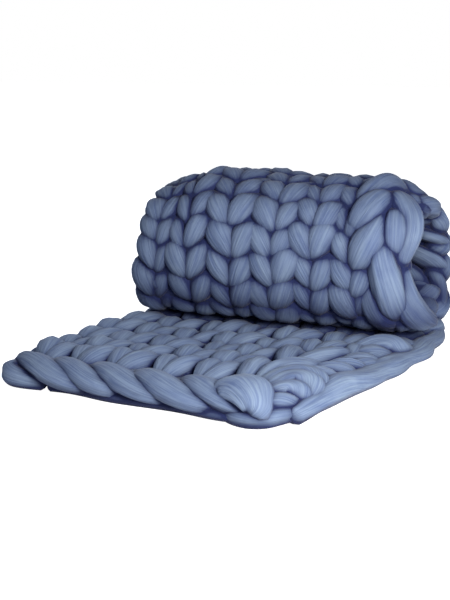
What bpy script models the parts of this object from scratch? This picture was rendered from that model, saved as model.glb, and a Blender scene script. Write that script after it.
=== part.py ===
"""Hand-knitted giant roving blanket, lying with one end rolled up, metres, +Z up.

One knitted layer is one closed body.  Its front end lies flat on the floor,
the rest goes under itself, up the back, over the top, down the front and a
little way inside again.  The stitches are V shaped and stand up from both
faces of the layer.
"""
import math

import bmesh
import bpy
import numpy as np

# Cloth
THICKNESS = 0.052          # the knit, ridge to ridge
LAYER_STEP = 0.056         # centre of one layer to the centre of the next
COLUMNS = 7                # stitches across
FLAP_ROWS = 7              # rows from the front end to below the roll
TURN_ROWS = 16             # rows once round the roll
INNER_ROWS = 2             # rows tucked inside the roll
FLAP_LENGTH = 0.5215       # front end to the line below the roll's axis
FLAP_SKEW = 0.0165         # the right corner lies this much further forward
ROLL_RADIUS = 0.123        # axis to the middle of the layer

# Outline of the flap, across the width
SHIFT_FRONT = -0.080       # centre line at the front end
SHIFT_ROLL = 0.030         # centre line at the roll
HALF_WIDTH = 0.308
FRONT_NARROWER = 0.042     # each half at the front end
MIDDLE_WIDER = 0.016

# Roll ends and sag
LEFT_DROOP = 0.032         # the roll is smaller at its left end
LEFT_LEAN = 0.038          # and its top leans inwards there
RIGHT_DROOP = 0.028
RIGHT_LEAN = 0.020
RIGHT_SMALLER = 0.004
RIGHT_FRONT_IN = 0.028     # the roll's front wall stops short of the right edge by this
SAG = 0.11                 # share by which the soft lower half bulges at 45 degrees
PRESS = 0.018              # the roll's weight presses the layers below it this much
PRESS_FROM = -0.42         # y where the pressing begins
PRESS_OVER = 0.20
PRESS_HEIGHT = 0.05        # height up to which it grows; above that it fades
ROLL_TOP = 0.356

# Stitches
QUADS_PER_COLUMN = 4
QUADS_PER_ROW = 3
VALLEY_COLUMN = 0.017      # depth between two columns
VALLEY_CENTRE = 0.013      # depth between the two legs of one stitch
VALLEY_ROW = 0.010         # depth where one leg dips behind the next
LEG_SLANT = 0.85           # rows that a leg climbs over half a column
EDGE_PINCH = 0.45          # how much thinner the cloth is at its very edge
HEM_LOBE = 0.012           # depth between the slanted lobes of the front hem
HEM_ROUND = 0.014          # how far the front edge rounds off
HEM_SET_BACK = 0.3         # rows by which the underside lies behind the hem
KNOT_RISE = 0.010          # the plump loop at the front right corner

# Underside
UNDER_LIFT = 0.0015        # the cloth hovers this much between its four resting patches
PATCH_ROWS = ((0.6, 1.7), (5.9, 7.1))
PATCH_ACROSS = (0.5, 0.95)

# height along a leg at its narrow end, its middle and its plump end
LEG_PROFILE = (0.0, 1.0, 0.8)

ROWS = FLAP_ROWS + TURN_ROWS + INNER_ROWS
WOOL_COLOUR = (0.115, 0.150, 0.245, 1.0)


def ease(x):
    """Smooth step from 0 to 1."""
    x = min(max(x, 0.0), 1.0)
    return x * x * (3.0 - 2.0 * x)


def pressed(y, z):
    """Height of a point after the weight of the roll."""
    near = ease((y - PRESS_FROM) / PRESS_OVER)
    return z - PRESS * near * ease(z / PRESS_HEIGHT) * (1 - z / ROLL_TOP)


def place(u, q, h):
    """Point of the cloth: u across -1..1, q rows from the front end, h off its middle."""
    t = min(max(q / FLAP_ROWS, 0.0), 1.0)
    centre = SHIFT_FRONT + (SHIFT_ROLL - SHIFT_FRONT) * t ** 1.35
    half = HALF_WIDTH - FRONT_NARROWER * (1 - t) ** 3 + MIDDLE_WIDER * math.sin(math.pi * t)
    if q < FLAP_ROWS:
        y = -(FLAP_LENGTH + FLAP_SKEW * u) * (1 - t)
        return centre + half * u, y, pressed(y, THICKNESS / 2 + h)
    phi = (q - FLAP_ROWS) * 2 * math.pi / TURN_ROWS
    up = (1 - math.cos(phi)) / 2
    left = ease((-u - 0.45) / 0.55)
    right = ease((u - 0.6) / 0.4)
    radius = ROLL_RADIUS - RIGHT_SMALLER * u
    axis_z = THICKNESS / 2 + LAYER_STEP + radius
    radius -= (LEFT_DROOP * left + RIGHT_DROOP * right) * up
    inward = ease(phi / (0.75 * math.pi)) + ease((phi - 2 * math.pi) / (0.75 * math.pi))
    r = radius + LAYER_STEP * (1 - inward) - h
    r *= 1 + SAG * math.sin(2 * phi) ** 2 * (1 - up)
    front = max(-math.sin(phi), 0.0) if phi < 2 * math.pi else 0.0
    x = centre + half * u + (LEFT_LEAN * left - RIGHT_LEAN * right) * up - RIGHT_FRONT_IN * right * front
    y = r * math.sin(phi)
    return x, y, pressed(y, axis_z - r * math.cos(phi))


def leg_offset(u):
    """Distance from the nearest column centre, 0 at the centre and 1 between columns."""
    c = (u + 1) / 2 * COLUMNS
    return abs(2 * (c - math.floor(c)) - 1) if u < 1 else 1.0


def stitch_valley(v, step):
    """Depth below the ridges, for a point v off the column centre at a step of the row."""
    if v < 0.25:
        return VALLEY_CENTRE
    if v > 0.75:
        return VALLEY_COLUMN
    return VALLEY_ROW * (1 - LEG_PROFILE[step % QUADS_PER_ROW])


def fade_ends(q):
    """1 along the cloth, 0 at its two ends."""
    return ease(q / 1.0) * ease((ROWS - q) / 1.0)


def on_patch(u, q):
    """True on one of the four flat patches that the cloth rests on."""
    beside = PATCH_ACROSS[0] < abs(u) < PATCH_ACROSS[1]
    return beside and any(low < q < high for low, high in PATCH_ROWS)


def face_point(u, step, side):
    """Point on the upper (side 1) or lower (side -1) face of the cloth."""
    q = step / QUADS_PER_ROW
    v = leg_offset(u)
    edge = abs(u) > 0.999
    ends = fade_ends(q)
    slant = 0.0 if edge else (v - 0.5) * LEG_SLANT * ends * side
    half = THICKNESS / 2
    on_flap_below = side < 0 and q < FLAP_ROWS + 0.1
    hidden_inside = side > 0 and q > FLAP_ROWS and abs(u) < 0.45
    if on_flap_below:
        depth = 0.0 if on_patch(u, q) else UNDER_LIFT
        slant = 0.0
    elif hidden_inside:
        depth = VALLEY_CENTRE
        slant = 0.0
    else:
        depth = stitch_valley(v, step) * max(ends, 0.3)
    if edge:
        depth = THICKNESS * EDGE_PINCH / 2
        if side < 0 and q < FLAP_ROWS:
            depth *= 0.8
    if q < 0.99 and side > 0 and not edge:
        lobe = ((u + 1) / 2 * COLUMNS + q * 0.8) % 1.0
        depth = HEM_LOBE * abs(2 * lobe - 1)
        depth -= KNOT_RISE * math.exp(-((u - 0.68) / 0.17) ** 2)
    if step == 0:
        depth += HEM_ROUND if side > 0 else 0.0
        slant += HEM_SET_BACK if side < 0 else 0.0
    if step == ROWS * QUADS_PER_ROW:
        depth += HEM_ROUND / 2
    return place(u, q + slant, side * (half - depth))


def build_cloth():
    """A flat grid, thickened to a slab, then every point set on its face of the roll."""
    across = COLUMNS * QUADS_PER_COLUMN
    along = ROWS * QUADS_PER_ROW
    bpy.ops.mesh.primitive_grid_add(x_subdivisions=across, y_subdivisions=along, size=2)
    cloth = bpy.context.object
    cloth.name = "knit_blanket"
    cloth.data.name = "knit_blanket"
    bm = bmesh.new()
    bm.from_mesh(cloth.data)
    upper = list(bm.verts)
    key = {}
    for vert in upper:
        key[vert] = (vert.co.x, round((vert.co.y + 1) / 2 * along), 1)
    extruded = bmesh.ops.extrude_face_region(bm, geom=list(bm.faces))
    lower = [g for g in extruded["geom"] if isinstance(g, bmesh.types.BMVert)]
    for vert in lower:
        key[vert] = (vert.co.x, round((vert.co.y + 1) / 2 * along), -1)
    for vert, (u, step, side) in key.items():
        vert.co = face_point(u, step, side)
    bmesh.ops.recalc_face_normals(bm, faces=list(bm.faces))
    bmesh.ops.dissolve_limit(
        bm,
        angle_limit=math.radians(1.0),
        use_dissolve_boundaries=False,
        verts=list(bm.verts),
        edges=list(bm.edges),
    )
    bmesh.ops.triangulate(bm, faces=list(bm.faces))
    bmesh.ops.recalc_face_normals(bm, faces=list(bm.faces))
    bm.to_mesh(cloth.data)
    bm.free()
    return cloth


def wool():
    """Matt blue wool."""
    mat = bpy.data.materials.new("wool_roving")
    mat.use_nodes = True
    shader = mat.node_tree.nodes["Principled BSDF"]
    shader.inputs["Base Color"].default_value = WOOL_COLOUR
    shader.inputs["Roughness"].default_value = 0.85
    return mat


for old in list(bpy.data.objects):
    bpy.data.objects.remove(old, do_unlink=True)

blanket = build_cloth()
blanket.data.materials.append(wool())
collection = bpy.data.collections.new("chunky_knit_blanket")
bpy.context.scene.collection.children.link(collection)
for holder in list(blanket.users_collection):
    holder.objects.unlink(blanket)
collection.objects.link(blanket)
low = np.array([v.co for v in blanket.data.vertices]).min(axis=0)
high = np.array([v.co for v in blanket.data.vertices]).max(axis=0)
for vert in blanket.data.vertices:
    vert.co.x -= (low[0] + high[0]) / 2
    vert.co.y -= (low[1] + high[1]) / 2
    vert.co.z -= low[2]
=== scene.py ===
import math

import bpy
import numpy as np
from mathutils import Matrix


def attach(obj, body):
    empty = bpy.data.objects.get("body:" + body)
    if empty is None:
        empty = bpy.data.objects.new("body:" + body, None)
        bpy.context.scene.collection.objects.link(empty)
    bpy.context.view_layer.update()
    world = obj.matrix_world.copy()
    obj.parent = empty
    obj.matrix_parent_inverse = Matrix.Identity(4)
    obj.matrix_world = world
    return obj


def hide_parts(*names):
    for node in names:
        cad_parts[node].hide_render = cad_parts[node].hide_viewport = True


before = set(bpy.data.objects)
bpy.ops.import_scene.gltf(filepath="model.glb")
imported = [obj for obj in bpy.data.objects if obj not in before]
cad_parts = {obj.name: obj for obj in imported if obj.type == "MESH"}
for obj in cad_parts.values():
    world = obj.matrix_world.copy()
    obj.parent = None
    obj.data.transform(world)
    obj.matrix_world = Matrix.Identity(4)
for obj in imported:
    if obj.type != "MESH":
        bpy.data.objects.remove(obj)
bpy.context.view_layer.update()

# Where the blanket lies
# The blanket lies on a pale studio floor, lit by a soft lamp from the front
# right and two weaker ones.  The camera looks down on it from its front right,
# so the open end of the roll shows.
VIEW_AZIMUTH = math.radians(20.0)
VIEW_ELEVATION = math.radians(14.0)
VIEW_FROM = (0.6177, -1.8025, 0.5913)
SENSOR_WIDTH = 36.0        # mm
LENS = 60.0                # mm
FLOOR_SIZE = 30            # m, past the horizon of every view
FLOOR_COLOUR = (0.80, 0.80, 0.82, 1)
AIR_COLOUR = (0.54, 0.66, 1.0, 1)
AIR_STRENGTH = 0.14        # of the light that reaches the wool from all round
WHITE = (1, 1, 1, 1)

bpy.ops.object.select_all(action="DESELECT")
bpy.ops.object.camera_add(
    location=VIEW_FROM, rotation=(math.pi / 2 - VIEW_ELEVATION, 0, VIEW_AZIMUTH))
camera = bpy.context.object
camera.data.sensor_width = SENSOR_WIDTH
camera.data.lens = LENS
bpy.context.scene.camera = camera
bpy.context.scene.view_settings.view_transform = "Standard"

bpy.ops.mesh.primitive_plane_add(size=FLOOR_SIZE)
floor = bpy.context.object
floor.name = "studio_floor"
floor_paint = bpy.data.materials.new("studio_floor_paint")
floor_paint.use_nodes = True
paint_nodes, paint_links = floor_paint.node_tree.nodes, floor_paint.node_tree.links
paint = paint_nodes["Principled BSDF"]
paint.inputs["Base Color"].default_value = FLOOR_COLOUR
paint.inputs["Roughness"].default_value = 0.9
paint.inputs["Emission Color"].default_value = WHITE
# the camera sees a white floor, but its glow doesn't light the wool
floor_ray = paint_nodes.new("ShaderNodeLightPath")
paint_links.new(floor_ray.outputs["Is Camera Ray"], paint.inputs["Emission Strength"])
floor.data.materials.append(floor_paint)


def lamp(name, place, aim, size, watts, colour):
    """A soft square studio light, size across, that points from place to aim."""
    light = bpy.data.lights.new(name, "AREA")
    light.shape = "SQUARE"
    light.size = size
    light.energy = watts
    light.color = colour
    holder = bpy.data.objects.new(name, light)
    way = np.array(aim) - np.array(place)
    flat = math.hypot(way[0], way[1])
    holder.location = place
    turn = math.atan2(way[1], way[0]) - math.pi / 2
    holder.rotation_euler = (math.atan2(flat, -way[2]), 0, turn)
    bpy.context.scene.collection.objects.link(holder)


lamp("key_light", (0.92, -1.04, 0.70), (0.05, -0.10, 0.10), 0.5, 36, (1.0, 0.975, 0.94))
lamp("fill_light", (-1.2, -1.7, 0.9), (0.0, -0.1, 0.1), 1.4, 7, (0.92, 0.95, 1.0))
lamp("back_light", (-1.2, 1.7, 1.2), (0.0, 0.15, 0.15), 1.4, 20, (0.80, 0.89, 1.0))

# weak blue light from all round, while the camera sees white air
world = bpy.data.worlds.new("studio_air")
world.use_nodes = True
air_nodes, air_links = world.node_tree.nodes, world.node_tree.links
air_ray = air_nodes.new("ShaderNodeLightPath")
air_light = air_nodes.new("ShaderNodeMapRange")
air_light.inputs["To Min"].default_value = AIR_STRENGTH
air_light.inputs["To Max"].default_value = 1.0
air_links.new(air_ray.outputs["Is Camera Ray"], air_light.inputs["Value"])
air_links.new(air_light.outputs["Result"], air_nodes["Background"].inputs["Strength"])
air_colour = air_nodes.new("ShaderNodeMix")
air_colour.data_type = "RGBA"
air_colour.inputs["A"].default_value = AIR_COLOUR
air_colour.inputs["B"].default_value = WHITE
air_links.new(air_ray.outputs["Is Camera Ray"], air_colour.inputs["Factor"])
air_links.new(air_colour.outputs["Result"], air_nodes["Background"].inputs["Color"])
bpy.context.scene.world = world

# Flap, upper face
# Unspun wool roving about 4 cm wide, knitted by hand.  Each row is one long
# strand; its legs stand on the face as pairs that make a V, and its turns
# pass behind the rows before and after.
THICKNESS = 0.052          # the knit, ridge to ridge
LAYER_STEP = 0.056         # centre of one layer to the centre of the next
COLUMNS = 7                # stitches across
FLAP_ROWS = 7              # rows from the front end to below the roll
TURN_ROWS = 16             # rows once round the roll
INNER_ROWS = 2             # rows tucked inside the roll
ROWS = FLAP_ROWS + TURN_ROWS + INNER_ROWS
FLAP_LENGTH = 0.5215       # front end to the line below the roll's axis
FLAP_SKEW = 0.0165         # the right corner lies this much further forward
FLAP_ROW = FLAP_LENGTH / FLAP_ROWS
ROLL_ROW = 0.059           # length of a row on the roll
ROLL_RADIUS = 0.123        # axis to the middle of the layer
SHIFT_FRONT = -0.080       # centre line at the front end
SHIFT_ROLL = 0.030         # centre line at the roll
SHIFT_CURVE = 1.35         # how late it moves from the one to the other
HALF_WIDTH = 0.308
FRONT_NARROWER = 0.042     # each half at the front end
MIDDLE_WIDER = 0.016       # each half in the middle of the flap
LEFT_END = 0.45            # share of the half width where the roll's left end begins
LEFT_DROOP = 0.032         # the roll is smaller there
LEFT_LEAN = 0.038          # and its top leans inwards
RIGHT_END = 0.6            # the same for its right end
RIGHT_DROOP = 0.028
RIGHT_LEAN = 0.020
RIGHT_SMALLER = 0.004
RIGHT_FRONT_IN = 0.028     # the roll's front wall stops short of the right edge by this
INWARD_OVER = 0.75 * math.pi     # a layer slips inside the one before it over this angle
SAG = 0.11                 # share by which the soft lower half bulges at 45 degrees
PRESS = 0.018              # the roll's weight presses the layers below it this much
PRESS_FROM = -0.42         # y where the pressing begins
PRESS_OVER = 0.20
PRESS_HEIGHT = 0.05        # height up to which it grows; above that it fades
ROLL_TOP = 0.356
CENTRE_X = -0.01347        # the solid's middle in the cloth's own coordinates
CENTRE_Y = -0.18347
# rows counted from the front end, and how far along the cloth they lie
ROW_MARKS = (-2.0, FLAP_ROWS, ROWS)
RUN_MARKS = (-2.0 * FLAP_ROW, FLAP_LENGTH, FLAP_LENGTH + (ROWS - FLAP_ROWS) * ROLL_ROW)
# where the columns of stitches end, across the flap and across the roll
FLAP_EDGES = np.array([-1.00, -0.74, -0.46, -0.17, 0.11, 0.38, 0.65, 0.90])
ROLL_EDGES = np.array([-0.98, -0.76, -0.45, -0.145, 0.135, 0.385, 0.64, 0.93])
EDGES_FROM, EDGES_OVER = 4, 4    # row where the one begins to turn into the other, and rows


def ease(x):
    """Smooth step from 0 to 1."""
    x = np.clip(x, 0.0, 1.0)
    return x * x * (3.0 - 2.0 * x)


def place(u, q, h):
    """Points of the cloth: u across -1..1, q rows from the front end, h off its middle."""
    u, q, h = np.broadcast_arrays(u, q, h)
    t = np.minimum(q / FLAP_ROWS, 1.0)
    t_in = np.clip(t, 0.0, 1.0)
    centre = SHIFT_FRONT + (SHIFT_ROLL - SHIFT_FRONT) * t_in ** SHIFT_CURVE
    half = HALF_WIDTH - FRONT_NARROWER * (1 - t_in) ** 3 + MIDDLE_WIDER * np.sin(math.pi * t_in)
    y_flap = -(FLAP_LENGTH + FLAP_SKEW * u) * (1 - t)
    phi = np.maximum(q - FLAP_ROWS, 0.0) * 2 * math.pi / TURN_ROWS
    up = (1 - np.cos(phi)) / 2
    left = ease((-u - LEFT_END) / (1 - LEFT_END))
    right = ease((u - RIGHT_END) / (1 - RIGHT_END))
    radius = ROLL_RADIUS - RIGHT_SMALLER * u
    axis_z = THICKNESS / 2 + LAYER_STEP + radius
    radius = radius - (LEFT_DROOP * left + RIGHT_DROOP * right) * up
    inward = ease(phi / INWARD_OVER) + ease((phi - 2 * math.pi) / INWARD_OVER)
    r = radius + LAYER_STEP * (1 - inward) - h
    r = r * (1 + SAG * np.sin(2 * phi) ** 2 * (1 - up))
    front = np.where(phi < 2 * math.pi, np.maximum(-np.sin(phi), 0.0), 0.0)
    lean = (LEFT_LEAN * left - RIGHT_LEAN * right) * up
    x = centre + half * u + lean - RIGHT_FRONT_IN * right * front
    y_roll = r * np.sin(phi)
    flat = q < FLAP_ROWS
    y = np.where(flat, y_flap, y_roll)
    z = np.where(flat, THICKNESS / 2 + h, axis_z - r * np.cos(phi))
    near = ease((y - PRESS_FROM) / PRESS_OVER)
    z = z - PRESS * near * ease(z / PRESS_HEIGHT) * (1 - z / ROLL_TOP)
    return np.stack([x - CENTRE_X, y - CENTRE_Y, z], axis=-1)


TIP_WIDTH = 0.7            # a strand's width next to its pointed ends
# lumps of the hand-drawn wool: share of the width, then radians round the strand
# and per metre along it, and how they differ from strand to strand
LUMPS = ((0.040, 5, 9, 1.0), (0.030, 8, -14, 2.3))
FILL_SHARES = (0.1, 0.32, 0.54, 0.75, 0.94)     # from a strand's middle to its skin
FLOOR_GAP = 0.0008         # the wool lies this far over the floor
UNDER_SKIN = 0.001         # and its hidden side this far inside the cloth's other face
TWIST = 4.0                # radians that the fibres turn per metre of strand
FIBRE_RADIUS = 0.02        # of the strand in the fibre pattern's own coordinates
SEAM = 0.00002             # points closer than this are one point
wool_fill = []             # points inside every strand, for the creases
pieces = []


def smooth_path(points, steps):
    """Cubic B-spline that follows the rows of points, with steps samples to a span."""
    p = np.concatenate([2 * points[:1] - points[1:2], points, 2 * points[-1:] - points[-2:-1]])
    t = (np.arange(steps) / steps)[:, None]
    weights = [(1 - t) ** 3 / 6, (3 * t ** 3 - 6 * t ** 2 + 4) / 6,
               (-3 * t ** 3 + 3 * t ** 2 + 3 * t + 1) / 6, t ** 3 / 6]
    spans = []
    for i in range(len(p) - 3):
        spans.append(sum(w * p[i + k] for k, w in enumerate(weights)))
    spans.append(p[-2:-1] * 4 / 6 + p[-3:-2] / 6 + p[-1:] / 6)
    return np.concatenate(spans)


def roving(path, sides, side, phase):
    """One strand swept over the cloth, along rows of (x, y, h, half width, half thickness).

    y runs along the cloth.  h counts from its middle towards the upper face where
    side is 1, and towards the lower where it is -1.
    """
    steps = len(path)
    path[[0, -1], 3:] = 0.0
    path[[1, -2], 3:] *= TIP_WIDTH
    bpy.ops.mesh.primitive_grid_add(x_subdivisions=sides, y_subdivisions=steps - 1, size=1)
    strand = bpy.context.object
    mid = path[:, :3]
    along = np.gradient(mid, axis=0)
    along /= np.maximum(np.linalg.norm(along, axis=1, keepdims=True), 1e-9)
    flat = np.stack([along[:, 1], -along[:, 0], np.zeros(steps)], axis=-1)
    flat /= np.maximum(np.linalg.norm(flat, axis=1, keepdims=True), 1e-9)
    out = np.cross(flat, along)
    run = np.concatenate([[0], np.cumsum(np.linalg.norm(np.diff(mid, axis=0), axis=1))])
    angle = np.linspace(0, 2 * math.pi, sides + 1)
    c, s = np.cos(angle)[None, :, None], np.sin(angle)[None, :, None]
    lump = 1
    for size, around, along_run, differ in LUMPS:
        wave = around * angle[None, :] + along_run * run[:, None] + differ * phase
        lump = lump + size * np.sin(wave)
    ring = mid[:, None, :] + (flat[:, None, :] * c * path[:, 3][:, None, None]
                              + out[:, None, :] * s * path[:, 4][:, None, None]) * lump[:, :, None]
    rows = np.interp(ring[..., 1], RUN_MARKS, ROW_MARKS)
    off_middle = np.maximum(ring[..., 2], -THICKNESS / 2 + UNDER_SKIN) * side
    co = place(ring[..., 0] / HALF_WIDTH, rows, off_middle)
    co[..., 2] = np.maximum(co[..., 2], FLOOR_GAP)
    middle = co[:, :-1].mean(axis=1, keepdims=True)
    for share in FILL_SHARES:
        wool_fill.append((middle + (co[:, :-1] - middle) * share).reshape(-1, 3))
    strand.data.vertices.foreach_set("co", co.reshape(-1, 3).astype(np.float32).ravel())
    fibre = strand.data.attributes.new("fibre", "FLOAT_VECTOR", "POINT")
    twist = angle[None, :] + TWIST * run[:, None]
    coords = np.stack([FIBRE_RADIUS * np.cos(twist), FIBRE_RADIUS * np.sin(twist),
                       np.repeat(run[:, None] + phase, sides + 1, axis=1)], axis=-1)
    fibre.data.foreach_set("vector", coords.astype(np.float32).ravel())
    return strand


def gather(name, strands):
    """Joins strands to one soft piece of wool, with its seams closed and shaded smooth."""
    bpy.ops.object.select_all(action="DESELECT")
    for strand in strands:
        strand.select_set(True)
    bpy.context.view_layer.objects.active = strands[0]
    bpy.ops.object.join()
    piece = bpy.context.object
    piece.name = name
    piece.data.name = name
    bpy.ops.object.mode_set(mode="EDIT")
    bpy.ops.mesh.select_all(action="SELECT")
    bpy.ops.mesh.remove_doubles(threshold=SEAM)
    bpy.ops.mesh.normals_make_consistent(inside=False)
    bpy.ops.object.mode_set(mode="OBJECT")
    bpy.ops.object.shade_smooth()
    piece.data.materials.append(wool)
    pieces.append(piece)
    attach(piece, "root")
    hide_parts("knit_blanket")
    return piece


# One leg of a stitch from its hidden lower turn to its hidden upper turn:
# across in columns, along in rows, lift 0..1, width and thickness factors.
# Its tip lies in front, between the tops of the two legs before it.
LEG = np.array([
    (-0.50, -0.52, -0.10, 0.72, 0.50),
    (-0.19, -0.74, -0.20, 0.40, 0.45),
    (-0.04, -0.68, 0.40, 0.46, 0.58),
    (-0.06, -0.48, 0.92, 0.70, 0.82),
    (-0.14, -0.22, 1.12, 0.98, 0.98),
    (-0.24, 0.06, 1.16, 1.17, 1.05),
    (-0.335, 0.33, 1.02, 1.20, 1.04),
    (-0.41, 0.58, 0.70, 1.10, 0.92),
    (-0.37, 0.82, 0.10, 0.78, 0.68),
    (0.00, 0.86, -0.20, 0.42, 0.50),
])
# On the flap the stitches are looser: each leg starts deeper and stands up more.
FLAP_LEG = np.array([
    (-0.50, -0.50, -0.30, 0.85, 0.50),
    (-0.19, -0.72, -0.30, 0.40, 0.45),
    (-0.06, -0.66, 0.10, 0.48, 0.58),
    (-0.07, -0.45, 0.55, 0.74, 0.82),
    (-0.13, -0.18, 0.95, 0.94, 1.00),
    (-0.21, 0.10, 1.20, 1.02, 1.08),
    (-0.285, 0.36, 1.24, 1.02, 1.08),
    (-0.34, 0.58, 0.92, 0.92, 0.95),
    (-0.33, 0.80, 0.10, 0.66, 0.68),
    (0.00, 0.86, -0.30, 0.42, 0.50),
])
STRAND_HALF = 0.0253       # half the width of a leg lying on the face
STRAND_THICK = 0.0175      # half its thickness
LIFT_LOW = -0.006          # a turn's centre, off the middle of the cloth
LIFT_HIGH = 0.0080         # a leg's centre
SUNK = 0.35                # share of its lift that a stitch keeps under a larger loop
# how far a hand-knitted stitch strays: across in columns, along in rows, in size
# and in lift, first for the whole stitch and then for its two legs apart
STRAY_ACROSS = 0.07
STRAY_ALONG, STRAY_APART = 0.10, 0.08
STRAY_SIZE, STRAY_SIZE_APART = 0.11, 0.11
STRAY_LIFT = 0.0022
# whole rows and columns sway: by how much, and radians a row and a column
SWAY_ACROSS = (0.04, 0.9, 1.7)
SWAY_ALONG = (0.07, 0.7, 2.1)


def sway(amount, by_row, by_column, row, col):
    """How far a stitch lies off its even place."""
    return amount * math.sin(by_row * row + by_column * col)


def knit_row(row, side, steps, sides, rng, legs=LEG, proud=0.0, sink=()):
    """One row of stitches on the upper (1) or lower (-1) face of the cloth.

    Each stitch is two legs that meet in the point of its V.  sink lists the
    stitches, as row and column, that lie deep under a larger loop.
    """
    points = []
    share = min(max((row - EDGES_FROM) / EDGES_OVER, 0.0), 1.0)
    edges = FLAP_EDGES + (ROLL_EDGES - FLAP_EDGES) * share
    for col in range(COLUMNS):
        jig = rng.uniform(-1, 1, 10)
        low = SUNK if (row, col) in sink else 1.0
        for half, leg in ((1, legs), (-1, legs[::-1])):
            for k, (x, y, lift, wide, thick) in enumerate(leg):
                # a leg's first point is the last one of the leg before it
                if k == 0 and (half < 0 or col > 0):
                    continue
                shown = 1.0 if lift > 0.1 else 0.0
                across = col + 0.5 + x * half + STRAY_ACROSS * jig[0] + sway(*SWAY_ACROSS, row, col)
                apart = STRAY_APART * jig[2] * half + sway(*SWAY_ALONG, row, col)
                y = y + STRAY_ALONG * jig[1] + apart * shown
                grow = 1 + STRAY_SIZE * jig[3] + STRAY_SIZE_APART * jig[4] * half
                x_m = HALF_WIDTH * np.interp(across, np.arange(COLUMNS + 1), edges)
                y_m = np.interp(row + 0.5 + y * side, ROW_MARKS, RUN_MARKS)
                stray = STRAY_LIFT * jig[5 + (half > 0)] * lift
                h_m = LIFT_LOW + (LIFT_HIGH + proud - LIFT_LOW) * lift * low + stray
                points.append((x_m, y_m, h_m, STRAND_HALF * wide * grow, STRAND_THICK * thick * grow))
    return roving(smooth_path(np.array(points), steps), sides, side, rng.uniform(0, 50))


# the wool: matt denim blue with fine streaks that follow every strand, mottled
# darker and paler by the dye, and painted near navy shade in the creases
DARK_BLUE = (0.074, 0.110, 0.222, 1)
PALE_BLUE = (0.190, 0.254, 0.354, 1)
PAINTED_SHADE_BLUE = (0.008, 0.014, 0.064, 1)
wool = bpy.data.materials.new("wool_roving")
wool.use_nodes = True
nodes, links = wool.node_tree.nodes, wool.node_tree.links
shader = nodes["Principled BSDF"]
shader.inputs["Roughness"].default_value = 0.80
shader.inputs["Sheen Weight"].default_value = 0.05
shader.inputs["Sheen Roughness"].default_value = 0.45
shader.inputs["Specular IOR Level"].default_value = 0.25
fibre_at = nodes.new("ShaderNodeAttribute")
fibre_at.attribute_name = "fibre"
# painted shade in the creases, read from each vertex's crease value
painted_shade_at = nodes.new("ShaderNodeAttribute")
painted_shade_at.attribute_name = "crease"


def streaks(scale, low, high):
    """Noise stretched along the strand; its span from low to high becomes 0 to 1."""
    mapping = nodes.new("ShaderNodeMapping")
    mapping.inputs["Scale"].default_value = scale
    links.new(fibre_at.outputs["Vector"], mapping.inputs["Vector"])
    noise = nodes.new("ShaderNodeTexNoise")
    noise.inputs["Scale"].default_value = 1.0
    noise.inputs["Detail"].default_value = 3.0
    noise.inputs["Distortion"].default_value = 0.6
    links.new(mapping.outputs["Vector"], noise.inputs["Vector"])
    span = nodes.new("ShaderNodeMapRange")
    span.inputs["From Min"].default_value = low
    span.inputs["From Max"].default_value = high
    links.new(noise.outputs["Fac"], span.inputs["Value"])
    return span.outputs["Result"]


def blend(a, b, share):
    """A value a share of the way from a to b."""
    mix = nodes.new("ShaderNodeMix")
    mix.inputs[0].default_value = share
    links.new(a, mix.inputs[2])
    links.new(b, mix.inputs[3])
    return mix.outputs[0]


fine = streaks((460, 460, 13), 0.39, 0.61)
broad = streaks((170, 170, 9), 0.34, 0.66)
patches = streaks((42, 42, 18), 0.32, 0.68)
fibres = blend(broad, fine, 0.6)
tone = nodes.new("ShaderNodeMix")
tone.data_type = "RGBA"
tone.inputs["A"].default_value = DARK_BLUE
tone.inputs["B"].default_value = PALE_BLUE
links.new(blend(fibres, patches, 0.32), tone.inputs["Factor"])
# painted shade: the tone drawn towards navy by the crease value
shade = nodes.new("ShaderNodeMix")
shade.data_type = "RGBA"
links.new(painted_shade_at.outputs["Fac"], shade.inputs["Factor"])
links.new(tone.outputs["Result"], shade.inputs["A"])
shade.inputs["B"].default_value = PAINTED_SHADE_BLUE
links.new(shade.outputs["Result"], shader.inputs["Base Color"])
bump = nodes.new("ShaderNodeBump")
bump.inputs["Strength"].default_value = 0.6
bump.inputs["Distance"].default_value = 0.0016
links.new(fibres, bump.inputs["Height"])
links.new(bump.outputs["Normal"], shader.inputs["Normal"])

FLAP_PROUD = 0.002         # the loose stitches of the flap stand this much higher
UNDER_CORNER = [(1, 5), (1, 6), (2, 5), (2, 6)]      # (row, column) under the corner's knot
rng = np.random.RandomState(4)
gather("flap_upper_stitches", [
    knit_row(row, 1, 3, 20, rng, FLAP_LEG, FLAP_PROUD, UNDER_CORNER)
    for row in range(1, FLAP_ROWS)])

# Flap, under face
# The same rows seen from below, pressed flat where the cloth lies on the floor,
# and the thin strands of the same wool that join the columns, deep between them.
LADDER_DEPTH = -0.20 * THICKNESS
LADDER_HALF, LADDER_THICK = 0.014, 0.006       # half its width and half its thickness
LADDER_ROWS = np.linspace(0.5, FLAP_ROWS, 9)
under_rows = [knit_row(row, -1, 2, 12, rng) for row in range(1, FLAP_ROWS + 1)]
for u in FLAP_EDGES[1:-1]:
    ladder = np.array([
        (u * HALF_WIDTH, np.interp(q, ROW_MARKS, RUN_MARKS), LADDER_DEPTH, LADDER_HALF, LADDER_THICK)
        for q in LADDER_ROWS])
    phase = 9.0 * u            # so that no two of them look alike
    under_rows.append(roving(smooth_path(ladder, 3), 12, 1, phase))
gather("flap_under_stitches", under_rows)

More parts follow.
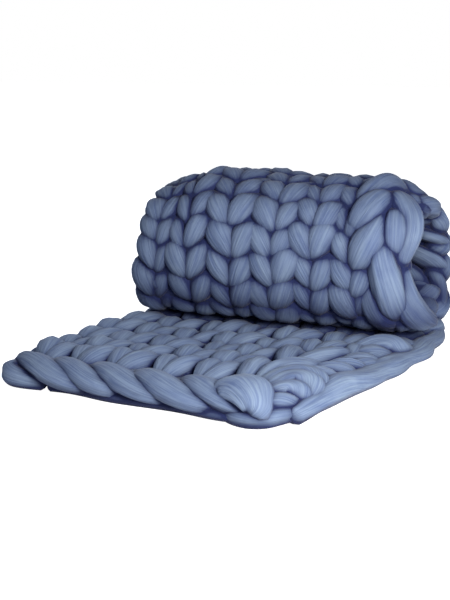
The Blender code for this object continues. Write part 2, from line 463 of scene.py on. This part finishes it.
# Roll, outer face
# The same knitting, rolled up: its rows go up the back, over the top and down
# the front, where the points of the V hang down.
UNDER_LOOPS = [(16, 6), (17, 6), (18, 6), (19, 6), (20, 6)]      # under the loose loops
TOP_ROWS = range(12, 17)
TOP_STRETCH = -0.004       # the rows stretched over the top lie this much lower
gather("roll_outer_stitches", [
    knit_row(row, -1, 3, 17, rng, LEG, TOP_STRETCH * (row in TOP_ROWS), UNDER_LOOPS)
    for row in range(FLAP_ROWS + 1, FLAP_ROWS + TURN_ROWS)])

# Roll, inner face
# The other face of the same layer of wool, seen through the roll's open ends,
# and the last rows, which are tucked inside.
UNDER_LOBES = [(8, 6), (9, 6), (10, 6), (11, 6), (12, 6), (22, 6), (23, 6), (24, 6)]
gather("roll_inner_stitches", [
    knit_row(row, 1, 2, 14, rng, LEG, 0.0, UNDER_LOBES) for row in range(FLAP_ROWS, ROWS)])
gather("roll_tuck_stitches", [
    knit_row(row, -1, 2, 12, rng) for row in range(FLAP_ROWS + TURN_ROWS, ROWS)])


# Loose loops at the roll's right
# The last stitches of each row were pulled larger by hand, and the strand of
# wool that joins the rows comes over the top and runs down the open end.
def loop(points, wide, thick, side, steps, sides, phase, stray=(0, 0, 0)):
    """A loop of an edge: one strand over given points.

    A point is (u, row, share of the thickness, width factor, thickness factor).
    wide and thick are half the strand's width and thickness.  stray moves it across
    and along, and makes it that share larger.
    """
    grow = 1 + stray[2]
    path = np.array([
        ((u + stray[0]) * HALF_WIDTH, np.interp(q + stray[1], ROW_MARKS, RUN_MARKS), h * THICKNESS,
         w * wide * grow, t * thick * grow)
        for u, q, h, w, t in points])
    return roving(smooth_path(path, steps), sides, side, 50 * phase)


roll_right = [
    # the strand that comes over the top and narrows down the rim
    loop([(0.72, 15.95, 0.0, 0.8, 0.6), (0.78, 16.25, 0.32, 1.05, 0.9), (0.86, 16.50, 0.44, 1.05, 1.0),
          (0.93, 16.95, 0.40, 1.05, 1.0), (0.965, 17.60, 0.30, 1.0, 0.95), (0.93, 18.30, 0.24, 0.9, 0.85),
          (0.895, 18.90, 0.16, 0.75, 0.7), (0.88, 19.35, -0.1, 0.55, 0.5)],
         0.034, 0.022, -1, 6, 26, 0.1),
    # the oval loop beside it
    loop([(0.81, 16.75, 0.1, 0.4, 0.5), (0.84, 17.05, 0.40, 0.85, 0.9), (0.86, 17.50, 0.52, 1.1, 1.05),
          (0.865, 18.05, 0.46, 1.12, 1.0), (0.845, 18.60, 0.26, 0.8, 0.7), (0.83, 18.95, -0.1, 0.5, 0.5)],
         0.036, 0.021, -1, 6, 24, 0.3),
    # three long legs that rise to the right
    loop([(0.52, 19.20, 0.0, 0.4, 0.6), (0.56, 18.90, 0.34, 0.75, 0.9), (0.61, 18.44, 0.46, 1.0, 1.0),
          (0.69, 17.98, 0.48, 1.1, 1.0), (0.75, 17.50, 0.36, 1.0, 0.95), (0.79, 17.15, 0.0, 0.6, 0.7)],
         0.035, 0.021, -1, 6, 26, 0.5),
    loop([(0.50, 17.95, 0.0, 0.4, 0.6), (0.54, 17.70, 0.34, 0.75, 0.9), (0.60, 17.29, 0.46, 1.05, 1.0),
          (0.68, 16.85, 0.46, 1.1, 1.0), (0.75, 16.40, 0.30, 0.9, 0.9), (0.79, 16.10, 0.0, 0.5, 0.6)],
         0.035, 0.021, -1, 6, 26, 0.7),
    loop([(0.50, 16.90, 0.0, 0.4, 0.6), (0.55, 16.55, 0.34, 0.8, 0.9), (0.63, 16.05, 0.46, 1.05, 1.0),
          (0.71, 15.60, 0.46, 1.1, 1.05), (0.79, 15.40, 0.34, 0.95, 0.95), (0.84, 15.45, 0.0, 0.5, 0.6)],
         0.031, 0.019, -1, 6, 26, 0.9),
    # the soft folds over the rim's top and behind it
    loop([(0.66, 15.20, 0.0, 0.5, 0.6), (0.75, 15.10, 0.30, 0.9, 0.9), (0.83, 14.75, 0.30, 1.05, 1.0),
          (0.87, 14.20, 0.24, 1.05, 1.0), (0.88, 13.60, 0.10, 0.9, 0.9), (0.86, 13.10, -0.1, 0.5, 0.6)],
         0.031, 0.018, -1, 6, 28, 0.25),
    loop([(0.86, 15.40, -0.1, 0.5, 0.6), (0.92, 15.10, 0.06, 0.9, 0.9), (0.96, 14.50, 0.04, 1.05, 1.0),
          (0.965, 13.80, 0.02, 1.0, 1.0), (0.95, 13.20, -0.1, 0.6, 0.6)],
         0.024, 0.020, -1, 6, 26, 0.65),
    loop([(0.92, 13.60, 0.1, 0.5, 0.6), (0.955, 13.10, 0.14, 0.9, 0.9), (0.975, 12.50, 0.08, 1.05, 1.0),
          (0.97, 11.90, 0.04, 1.0, 1.0), (0.94, 11.40, -0.1, 0.6, 0.6)],
         0.025, 0.020, -1, 6, 26, 0.45),
    # the plump upright lobe and the one that bulges below it
    loop([(0.70, 18.05, 0.0, 0.6, 0.6), (0.73, 18.38, 0.34, 0.95, 0.9), (0.775, 19.05, 0.48, 1.05, 1.0),
          (0.825, 19.75, 0.50, 1.1, 1.05), (0.845, 20.45, 0.38, 1.05, 0.95), (0.84, 21.00, 0.05, 0.7, 0.7)],
         0.043, 0.023, -1, 6, 28, 0.2),
    loop([(0.60, 19.50, -0.05, 0.4, 0.6), (0.645, 19.95, 0.26, 0.85, 0.9), (0.69, 20.50, 0.34, 1.05, 1.0),
          (0.755, 21.00, 0.32, 1.1, 1.0), (0.83, 21.30, 0.15, 0.9, 0.85), (0.90, 21.30, -0.1, 0.5, 0.6)],
         0.033, 0.020, -1, 6, 26, 0.4),
    # the rim below the strand's end
    loop([(0.91, 18.90, -0.1, 0.5, 0.5), (0.915, 19.25, 0.14, 0.75, 0.7), (0.92, 19.75, 0.24, 0.90, 0.85),
          (0.935, 20.30, 0.28, 1.05, 0.95), (0.975, 20.90, 0.22, 1.12, 1.0), (1.00, 21.50, 0.05, 1.0, 0.95),
          (0.97, 22.00, -0.1, 0.6, 0.6)],
         0.034, 0.022, -1, 6, 28, 0.6),
    # lobes on the inside of the back wall
    loop([(0.66, 10.90, 0.0, 0.4, 0.6), (0.73, 10.70, 0.30, 0.85, 0.9), (0.84, 10.55, 0.44, 1.1, 1.0),
          (0.94, 10.25, 0.40, 1.0, 1.0), (1.00, 9.90, 0.1, 0.6, 0.7)],
         0.026, 0.018, 1, 6, 24, 0.15),
    loop([(0.68, 10.20, 0.0, 0.4, 0.6), (0.74, 9.85, 0.30, 0.85, 0.9), (0.81, 9.35, 0.44, 1.1, 1.0),
          (0.885, 8.75, 0.38, 0.95, 0.95), (0.93, 8.35, 0.0, 0.5, 0.6)],
         0.027, 0.018, 1, 6, 24, 0.35),
    loop([(0.88, 10.20, 0.1, 0.5, 0.6), (0.92, 9.85, 0.36, 0.9, 0.9), (0.96, 9.45, 0.40, 1.05, 1.0),
          (0.98, 8.95, 0.28, 0.8, 0.8), (0.97, 8.60, 0.0, 0.4, 0.5)],
         0.020, 0.016, 1, 6, 20, 0.55),
    loop([(0.76, 11.90, 0.0, 0.4, 0.6), (0.83, 11.60, 0.30, 0.85, 0.9), (0.91, 11.75, 0.42, 1.05, 1.0),
          (0.98, 11.40, 0.30, 0.9, 0.9), (1.01, 11.00, 0.0, 0.5, 0.6)],
         0.026, 0.018, 1, 6, 24, 0.75),
]
gather("roll_right_loops", roll_right)

# Right selvedge
# The strand of wool that carries from row to row lies along the right edge: a
# broad smooth band beside the flap, then plump turns up the back of the roll.
BAND = [                   # row, u, share of the thickness, half width, half thickness
    (0.15, 0.967, -0.2, 0.014, 0.014), (0.62, 0.962, -0.05, 0.026, 0.018),
    (1.40, 0.942, 0.02, 0.034, 0.022), (2.49, 0.92, 0.04, 0.037, 0.024),
    (3.58, 0.935, 0.02, 0.033, 0.024), (4.67, 0.955, 0.0, 0.031, 0.023),
    (5.83, 0.97, 0.0, 0.028, 0.022), (7.00, 0.98, 0.0, 0.025, 0.022),
    (7.90, 0.98, -0.02, 0.018, 0.018), (8.40, 0.96, -0.2, 0.008, 0.010),
]
SMALL_TURNS = (1.75, 2.45, 3.1, 3.8, 4.5, 5.2)      # rows with a small turn beside the band
SMALL_STRAY = (0.008, 0.10, 0.10, 1)     # across, along and in size; the last is the phase
TURN_STRAY = (0.012, 0.08, 0.08, 1)
BACK_ROWS = range(8, 12)   # rows up the back of the roll
ROLL_TURNS_RIGHT = 0.03    # the turns on the roll lie this share of the half width to the right
band = smooth_path(np.array([
    (u * HALF_WIDTH, np.interp(q, ROW_MARKS, RUN_MARKS), h * THICKNESS, w, t)
    for q, u, h, w, t in BAND]), 8)


def uneven(run, size, waves, start=0):
    """Soft unevenness along a run in metres: its size, radians a metre and start."""
    return size * np.sin(run * waves + start)


band[:, 0] += uneven(band[:, 1], 0.003, 34) + uneven(band[:, 1], 0.002, 61, 1)
band[:, 3] *= 1 + uneven(band[:, 1], 0.07, 47)
band[:, 4] *= 1 + uneven(band[:, 1], 0.09, 39, 2)


def edge_turn(edge, row, jig, wide, thick):
    """A strand's turn from one row to the next over the left (-1) or right (1) edge."""
    return loop([(0.80 * edge, row - 0.50, 0.05, 0.5, 0.6), (0.895 * edge, row - 0.28, 0.24, 0.9, 0.9),
                 (0.935 * edge, row + 0.05, 0.03, 1.05, 1.1), (0.915 * edge, row + 0.38, -0.20, 0.95, 0.9),
                 (0.82 * edge, row + 0.60, -0.15, 0.5, 0.6)],
                wide, thick, 1, 4, 18, jig[3], jig[:3])


right_turns = [roving(band, 32, 1, 7.0)]
for row in SMALL_TURNS:
    jig = rng.uniform(-1, 1, 4) * SMALL_STRAY
    right_turns.append(loop([(0.68, row - 0.10, -0.1, 0.5, 0.6), (0.745, row + 0.02, 0.32, 0.9, 0.9),
                             (0.815, row + 0.20, 0.42, 1.05, 1.0), (0.87, row + 0.42, 0.28, 0.85, 0.9),
                             (0.90, row + 0.60, -0.1, 0.5, 0.6)],
                            0.0215, 0.018, 1, 5, 20, jig[3], jig[:3]))
for row in BACK_ROWS:
    jig = rng.uniform(-1, 1, 4) * TURN_STRAY
    jig[0] += ROLL_TURNS_RIGHT
    right_turns.append(edge_turn(1, row, jig, 0.028, 0.022))
gather("right_selvedge", right_turns)

# Left selvedge
# Each row of wool turns back over the left edge as a small plump loop, and
# those on the roll lie a little further in.
turns = []
for row in range(1, ROWS):
    jig = rng.uniform(-1, 1, 4) * TURN_STRAY
    if row > FLAP_ROWS + 1:
        jig[0] += ROLL_TURNS_RIGHT
    turns.append(edge_turn(-1, row, jig, 0.021, 0.018))
gather("left_selvedge", turns)

# Front hem
# The first row is cast on with a doubled strand of wool, so the front edge is
# a rope of fat slanted loops that wrap from the upper face over the edge.
HEM_STARTS = (-0.95, -0.68, -0.41, -0.08, 0.25)
HEM_LONGER = 1.12          # the loops from the third on are this much longer
HEM_STRAY = (0.01, 0.04, 0.05, 1)
HEM_LOOP = np.array([
    (-0.08, 0.78, -0.08, 0.40, 0.60),
    (-0.02, 0.56, 0.24, 0.80, 0.85),
    (0.09, 0.34, 0.36, 1.08, 1.00),
    (0.22, 0.14, 0.25, 1.16, 1.02),
    (0.35, 0.02, 0.08, 1.06, 0.95),
    (0.46, 0.04, -0.06, 0.80, 0.80),
    (0.58, 0.24, -0.18, 0.45, 0.60),
])
hem_loops = []
for k, start in enumerate(HEM_STARTS):
    jig = rng.uniform(-1, 1, 4) * HEM_STRAY
    longer = 1.0 if k < 2 else HEM_LONGER
    points = HEM_LOOP * (longer, 1, 1, 1, 1) + (start, 0, 0, 0, 0)
    hem_loops.append(loop(points, 0.0265, 0.0200, 1, 6, 28, jig[3], jig[:3]))
# the plump end at the front left
hem_loops.append(loop([(-0.84, 0.66, 0.0, 0.5, 0.6), (-0.97, 0.42, 0.04, 0.9, 0.95),
                       (-1.03, 0.17, 0.0, 1.1, 1.05), (-0.97, -0.02, -0.06, 1.0, 1.0),
                       (-0.86, 0.02, -0.14, 0.8, 0.85), (-0.72, 0.19, -0.26, 0.5, 0.7)],
                      0.0215, 0.0195, 1, 6, 28, 0.2))
front_hem = gather("front_hem_loops", hem_loops)

# Front right corner
# The strand's end is knotted back through the last loops of wool: a plump lobe
# and a bud in front, a fan of strands behind them, and long loops up the flap.
corner = [
    # the plump lobe and the bud below it
    loop([(0.47, 0.05, -0.08, 0.6, 0.7), (0.50, 0.34, 0.32, 1.0, 1.0), (0.63, 0.34, 0.52, 1.16, 1.05),
          (0.76, 0.10, 0.44, 1.12, 1.05), (0.83, -0.12, 0.14, 0.85, 0.9), (0.82, -0.20, -0.20, 0.5, 0.7)],
         0.035, 0.023, 1, 6, 36, 0.15),
    loop([(0.54, 0.20, -0.28, 0.5, 0.7), (0.63, -0.02, -0.24, 0.9, 0.95), (0.74, -0.10, -0.20, 1.1, 1.0),
          (0.86, -0.03, -0.16, 1.05, 1.0), (0.94, 0.22, -0.12, 0.8, 0.85), (0.98, 0.54, -0.1, 0.5, 0.6)],
         0.021, 0.018, 1, 6, 28, 0.35),
    # the fan, from its long strands at the back to the short one in front
    loop([(0.74, 0.25, 0.1, 0.5, 0.7), (0.70, 0.90, 0.40, 0.9, 1.0), (0.73, 1.50, 0.50, 1.1, 1.0),
          (0.81, 1.72, 0.48, 1.1, 1.0), (0.91, 1.45, 0.30, 0.8, 0.8), (0.96, 1.15, 0.0, 0.4, 0.6)],
         0.029, 0.020, 1, 6, 28, 0.75),
    loop([(0.76, 0.22, 0.1, 0.5, 0.7), (0.76, 0.75, 0.38, 0.9, 1.0), (0.79, 1.20, 0.50, 1.15, 1.0),
          (0.87, 1.30, 0.44, 1.1, 1.0), (0.94, 1.00, 0.20, 0.8, 0.8), (0.96, 0.80, 0.0, 0.4, 0.6)],
         0.030, 0.020, 1, 6, 28, 0.55),
    loop([(0.77, 0.15, 0.0, 0.5, 0.7), (0.79, 0.46, 0.32, 0.9, 1.0), (0.84, 0.78, 0.42, 1.15, 1.0),
          (0.91, 0.82, 0.32, 1.0, 0.9), (0.96, 0.60, 0.0, 0.5, 0.6)],
         0.028, 0.019, 1, 6, 26, 0.05),
    loop([(0.78, 0.00, -0.1, 0.5, 0.7), (0.83, 0.18, 0.18, 1.0, 1.0), (0.90, 0.38, 0.22, 1.1, 1.0),
          (0.96, 0.50, 0.0, 0.6, 0.7)],
         0.021, 0.018, 1, 6, 22, 0.85),
    # long loops beside the fan
    loop([(0.68, 0.62, 0.1, 0.6, 0.7), (0.60, 1.40, 0.42, 1.0, 1.0), (0.62, 2.18, 0.50, 1.1, 1.0),
          (0.71, 2.64, 0.40, 0.95, 0.95), (0.80, 2.72, 0.1, 0.5, 0.6)],
         0.023, 0.020, 1, 6, 26, 0.95),
    loop([(0.55, 0.78, 0.1, 0.6, 0.7), (0.49, 1.48, 0.42, 1.05, 1.0), (0.43, 2.26, 0.44, 1.15, 1.0),
          (0.41, 2.72, 0.1, 0.8, 0.8), (0.42, 2.96, -0.1, 0.5, 0.6)],
         0.022, 0.020, 1, 6, 26, 0.25),
    loop([(0.54, 2.49, 0.1, 0.5, 0.6), (0.47, 3.19, 0.40, 0.95, 1.0), (0.39, 3.97, 0.42, 1.12, 1.0),
          (0.36, 4.43, 0.1, 0.8, 0.8), (0.36, 4.67, -0.1, 0.5, 0.6)],
         0.023, 0.020, 1, 6, 26, 0.45),
    # broad lobes beside the band, up to the roll
    loop([(0.52, 2.85, 0.1, 0.5, 0.6), (0.57, 3.30, 0.36, 0.9, 0.9), (0.63, 3.85, 0.46, 1.15, 1.0),
          (0.67, 4.30, 0.40, 1.0, 0.9), (0.69, 4.60, 0.0, 0.5, 0.6)],
         0.026, 0.020, 1, 6, 26, 0.65),
    loop([(0.66, 4.55, 0.0, 0.5, 0.6), (0.72, 4.90, 0.36, 0.9, 0.9), (0.80, 5.25, 0.48, 1.15, 1.05),
          (0.89, 5.40, 0.42, 1.05, 1.0), (0.97, 5.25, 0.1, 0.6, 0.7)],
         0.033, 0.022, 1, 6, 28, 0.35),
]
gather("corner_knot", corner)

# Under the hem
# The cast-on strand of wool runs along the underside, a little wavy and set
# back behind the loops that are knitted onto it.
CORD_FROM, CORD_TO = -0.74, 0.80         # its two ends, u
CORD_POINTS = 18
CORD_ROW = 0.14            # rows behind the front end, in the middle
CORD_SLANT, CORD_WAVE = 0.12, 0.05       # rows that it comes forward to the right, and waves
CORD_DEPTH = -0.27         # share of the thickness
CORD_LUMP = 0.1            # share of its width


def cord_point(u):
    """A point of the strand that lies u across the cloth."""
    row = CORD_ROW - CORD_SLANT * u + CORD_WAVE * math.sin(9 * u)
    return u, row, CORD_DEPTH, 1 + CORD_LUMP * math.sin(14 * u), 1


hem_cord = gather("hem_under_cord", [
    loop([cord_point(u) for u in np.linspace(CORD_FROM, CORD_TO, CORD_POINTS)],
         0.019, 0.0125, 1, 4, 18, 0.6)])

# Creases: painted shade
# Where strands press together little light reaches, so every point of the wool is
# given how deep it lies: how much wool stands around it.  Its colour is drawn
# towards navy by that as painted shade, with more painted shade on the roll and
# under the hem, and a flat darkening on the hem.
CELL = 0.004               # cell of the grid that holds the wool
COARSE = 4                 # cells to one cell of the grid for the shelter
GRID_MARGIN = 0.05         # free air round the wool
FULL_CELL = 0.28           # share of wool from which a cell counts as full
SOFT_CELLS = 3             # times that a grid is softened
# how far off the surface the wool is counted, the share that counts as none, the
# further share that counts as a full crease, and how much painted shade that gives
NEAR_OFF, NEAR_LOW, NEAR_SPAN, NEAR_DARK = 0.0045, 0.26, 0.40, 0.35    # where strands touch
WIDE_OFF, WIDE_LOW, WIDE_SPAN, WIDE_DARK = 0.011, 0.03, 0.40, 0.85     # the soft fall towards it
FAR_OFF, FAR_LOW, FAR_SPAN, FAR_DARK = 0.030, 0.14, 0.60, 0.54         # shelter of the roll
LINE_DARK, LINE_DARK_ROLL = 0.52, 0.10     # the crisp painted shade line itself, and more of it on the roll
FLAP_SHARE, ROLL_SHARE = 0.70, 0.86        # of all that on the flap, and more of it on the roll
# the roll begins at this height and this far back, and over these lengths
ROLL_Z, ROLL_Z_OVER = 0.06, 0.02
ROLL_Y, ROLL_Y_OVER = -0.03, 0.04
# painted shade on the roll, more on its top except at its left end, and most on its foot
ROLL_PAINTED_SHADE, TOP_PAINTED_SHADE, FOOT_PAINTED_SHADE = 0.16, 0.16, 0.52
TOP_Z, TOP_Z_OVER = 0.24, 0.11
TOP_X, TOP_X_OVER = -0.33, 0.30
FOOT_Z, FOOT_Z_OVER = 0.16, 0.08
UNDER_HEM_PAINTED_SHADE, HEM_DARKER = 0.40, 0.10      # painted shade on the strand under the hem, and a flat darkening on the hem
DEEPEST = 1.2              # no soft tone is deeper
SOFT_STEPS, LINE_STEPS = 3, 1              # times that the soft tone and the line are evened out
inside = np.concatenate(wool_fill)
grid_low = inside.min(axis=0) - GRID_MARGIN
grid_size = ((inside.max(axis=0) + GRID_MARGIN - grid_low) / CELL).astype(int) + 2
room = np.zeros(grid_size, dtype=np.float32)
room[tuple(((inside - grid_low) / CELL).astype(int).T)] = 1.0
below_floor = max(int((0.0 - grid_low[2]) / CELL), 0)
room[:, :, :below_floor] = 1.0     # the floor closes off light too


def soften(grid, times):
    """The grid with every cell spread over its neighbours a number of times."""
    for axis in (0, 1, 2):
        for _ in range(times):
            grid = (np.roll(grid, 1, axis) + 2 * grid + np.roll(grid, -1, axis)) / 4
    return grid


def wool_at(grid, cell_size, points):
    """Share of wool in the grid at each point."""
    at = (points - grid_low) / cell_size - 0.5
    cell = np.clip(np.floor(at).astype(int), 0, np.array(grid.shape) - 2)
    part = at - cell
    total = np.zeros(len(points))
    for dx, dy, dz in np.ndindex(2, 2, 2):
        weight = (abs(1 - dx - part[:, 0]) * abs(1 - dy - part[:, 1])
                  * abs(1 - dz - part[:, 2]))
        total += weight * grid[cell[:, 0] + dx, cell[:, 1] + dy, cell[:, 2] + dz]
    return total


def even_out(mesh, value, times):
    """A value of each vertex, drawn towards its neighbours' mean a number of times."""
    ends = np.empty(len(mesh.edges) * 2, dtype=np.int32)
    mesh.edges.foreach_get("vertices", ends)
    a, b = ends.reshape(-1, 2).T
    count = np.maximum(np.bincount(ends, minlength=len(value)), 1)
    for _ in range(times):
        around = np.bincount(a, value[b], len(value)) + np.bincount(b, value[a], len(value))
        value = (value + around / count) / 2
    return value


def depth_in(grid, cell_size, low, span, points):
    """How deep in a crease each point lies, from 0 to 1."""
    return np.clip((wool_at(grid, cell_size, points) - low) / span, 0, 1)


near_room = soften((soften(room, 1) > FULL_CELL).astype(np.float32), SOFT_CELLS)
wide_room = soften(near_room, SOFT_CELLS)
far_room = soften(wide_room[::COARSE, ::COARSE, ::COARSE], SOFT_CELLS)
for piece in pieces:
    count = len(piece.data.vertices)
    co = np.empty(count * 3, dtype=np.float32)
    normal = np.empty(count * 3, dtype=np.float32)
    piece.data.vertices.foreach_get("co", co)
    piece.data.vertex_normals.foreach_get("vector", normal)
    co, normal = co.reshape(-1, 3), normal.reshape(-1, 3)
    near = depth_in(near_room, CELL, NEAR_LOW, NEAR_SPAN, co + normal * NEAR_OFF)
    wide = depth_in(wide_room, CELL, WIDE_LOW, WIDE_SPAN, co + normal * WIDE_OFF)
    far = depth_in(far_room, CELL * COARSE, FAR_LOW, FAR_SPAN, co + normal * FAR_OFF)
    x, y, z = co.T
    rolled = ease((z - ROLL_Z) / ROLL_Z_OVER) * ease((y - ROLL_Y) / ROLL_Y_OVER)
    # painted shade from the wool that stands round each point
    soft = NEAR_DARK * near + WIDE_DARK * wide + FAR_DARK * far
    soft *= FLAP_SHARE + ROLL_SHARE * rolled
    # painted shade on the roll, more on its top and most on its foot
    top = ease((z - TOP_Z) / TOP_Z_OVER) * ease((x - TOP_X) / TOP_X_OVER)
    foot = ease((FOOT_Z - z) / FOOT_Z_OVER)
    soft += rolled * (ROLL_PAINTED_SHADE + TOP_PAINTED_SHADE * top + FOOT_PAINTED_SHADE * foot)
    # painted shade on the strand under the hem
    if piece is hem_cord:
        soft += UNDER_HEM_PAINTED_SHADE
    # a flat darkening on the hem
    if piece is front_hem:
        soft += HEM_DARKER
    # the crisp painted shade line where strands touch
    line = (LINE_DARK + LINE_DARK_ROLL * rolled) * near
    value = (even_out(piece.data, np.clip(soft, 0, DEEPEST), SOFT_STEPS)
             + even_out(piece.data, line, LINE_STEPS))
    # stored as the painted crease shade that the wool's material reads
    crease = piece.data.attributes.new("crease", "FLOAT", "POINT")
    crease.data.foreach_set("value", value.astype(np.float32))
